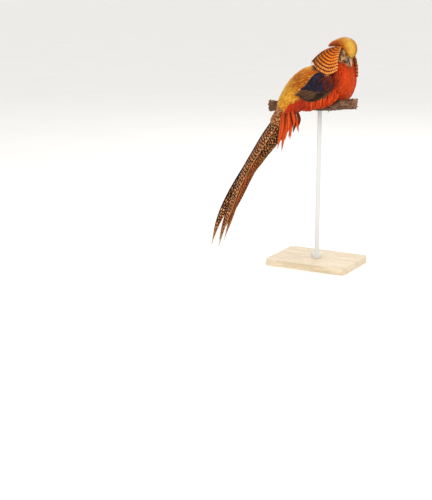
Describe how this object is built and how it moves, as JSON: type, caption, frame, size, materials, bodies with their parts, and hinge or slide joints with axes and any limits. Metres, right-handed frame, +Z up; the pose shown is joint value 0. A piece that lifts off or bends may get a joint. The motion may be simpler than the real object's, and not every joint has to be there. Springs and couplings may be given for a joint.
{
  "type": "male golden pheasant model on a perch",
  "caption": "Life-size still model of a cock golden pheasant perched on a cut branch, held by a plain display stand.",
  "frame": {"origin": "the middle of the underside of the stand's base", "axes": "+Z up, +X the way the bird's body faces, +Y its left side"},
  "size_m": [0.4658, 0.18, 0.6366],
  "materials": {
    "plumage_scarlet": "soft overlapping feathers, scarlet to orange red",
    "plumage_gold": "long hair-like golden feathers",
    "mantle": "dark green feathers edged with black",
    "face": "very short buff feathers and bare skin",
    "bill": "smooth horn, greyish brown with a paler ridge",
    "eye": "wet gloss, pale iris and dark pupil",
    "crest": "long silky golden feathers",
    "cape": "square orange feathers edged with black",
    "wing": "dark blue and brown feathers",
    "leg": "scaled yellow skin with dark claws",
    "tail": "brown feathers mottled with black and buff",
    "bark": "rough brown bark",
    "stand_metal": "satin pale grey paint",
    "stand_wood": "pale oiled wood"
  },
  "bodies": {
    "root": {"torso": "plumage_scarlet", "back": "plumage_gold", "mantle": "mantle", "rump": "plumage_gold", "vent": "plumage_scarlet", "neck": "plumage_scarlet", "head": "face", "bill_upper": "bill", "bill_lower": "bill", "eye_left": "eye", "eye_right": "eye", "crest": "crest", "cape": "cape", "wing_left": "wing", "wing_right": "wing", "thigh_left": "plumage_scarlet", "thigh_right": "plumage_scarlet", "foot_left": "leg", "foot_right": "leg", "tail": "tail", "perch_branch": "bark", "stand_rod": "stand_metal", "stand_collar": "stand_metal", "stand_base": "stand_wood"}
  },
  "joints": []
}
